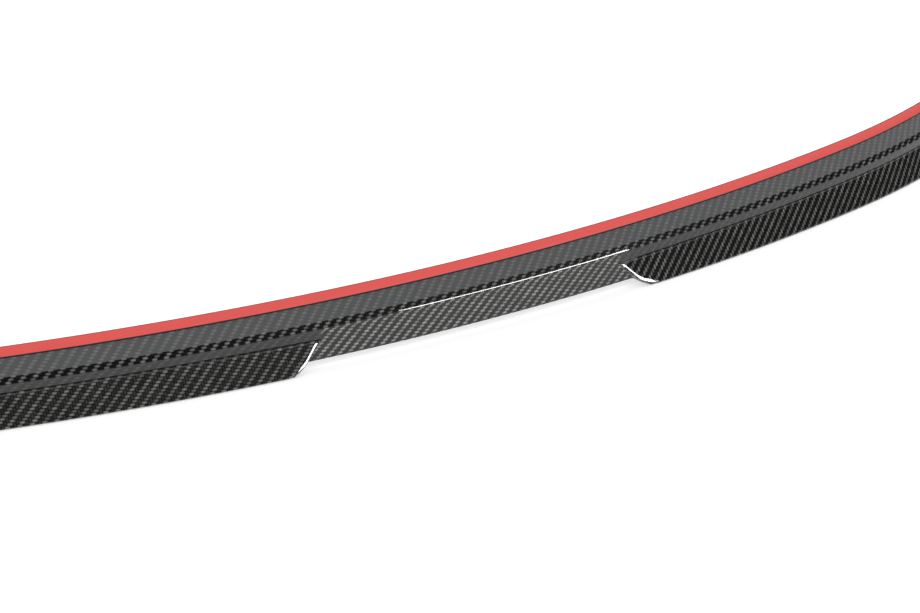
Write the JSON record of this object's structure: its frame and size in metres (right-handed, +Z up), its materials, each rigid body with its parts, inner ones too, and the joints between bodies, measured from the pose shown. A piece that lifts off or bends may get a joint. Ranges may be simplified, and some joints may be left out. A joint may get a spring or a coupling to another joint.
{
  "type": "car boot-lid lip spoiler",
  "caption": "Curved lip spoiler for a car's boot lid, a thin carbon laminate with stepped-out wings and a taped mounting flange.",
  "frame": {"origin": "on the floor, under the middle of the part as it stands on its wings' trailing edges", "axes": "+X along the spoiler, +Y towards its hollow side, +Z up; the tape faces -Y and up"},
  "size_m": [1.22, 0.1336, 0.0584],
  "materials": {
    "carbon_laminate": "twill-woven carbon under a clear gloss coat",
    "foam_tape": "dark closed-cell foam",
    "release_liner": "smooth red film"
  },
  "bodies": {
    "root": {"spoiler_body": "carbon_laminate", "tape_foam": "foam_tape", "tape_liner": "release_liner"}
  },
  "joints": []
}
